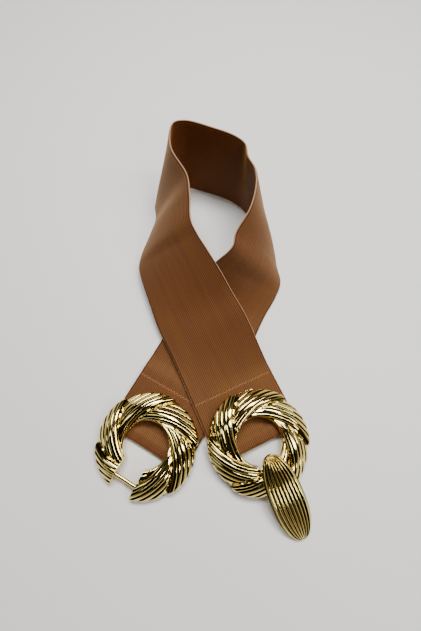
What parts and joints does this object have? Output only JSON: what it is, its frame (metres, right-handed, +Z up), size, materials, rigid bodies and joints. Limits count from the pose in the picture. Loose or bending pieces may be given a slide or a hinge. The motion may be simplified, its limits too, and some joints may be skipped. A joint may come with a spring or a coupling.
{
  "type": "elastic stretch belt with ring clasp",
  "caption": "Wide elastic stretch belt lying in a standing loop with crossed legs, each end folded round a ribbed gold ring, with a hinged oval clasp leaf.",
  "frame": {"origin": "centre of the flap under the left end of the band, where it lies on the table", "axes": "+Y from the rings towards the standing loop, +Z up, +X to the right as seen from the rings"},
  "size_m": [0.1392, 0.273, 0.0606],
  "materials": {
    "elastic": "matt woven elastic with fine lengthwise ribs",
    "gold": "polished pale gold plating"
  },
  "bodies": {
    "belt": {"elastic_band": "elastic", "left_ring": "gold", "right_ring": "gold", "left_pin": "gold", "right_pin": "gold"},
    "leaf": {"clasp_leaf": "gold"}
  },
  "joints": [
    {"name": "leaf_hinge", "type": "hinge", "parent": "belt", "child": "leaf", "pos_m": [0.07085, -0.03266, 0.00676], "axis": [-0.9082, -0.4158, 0.0489], "range_deg": [0, 32]}
  ]
}
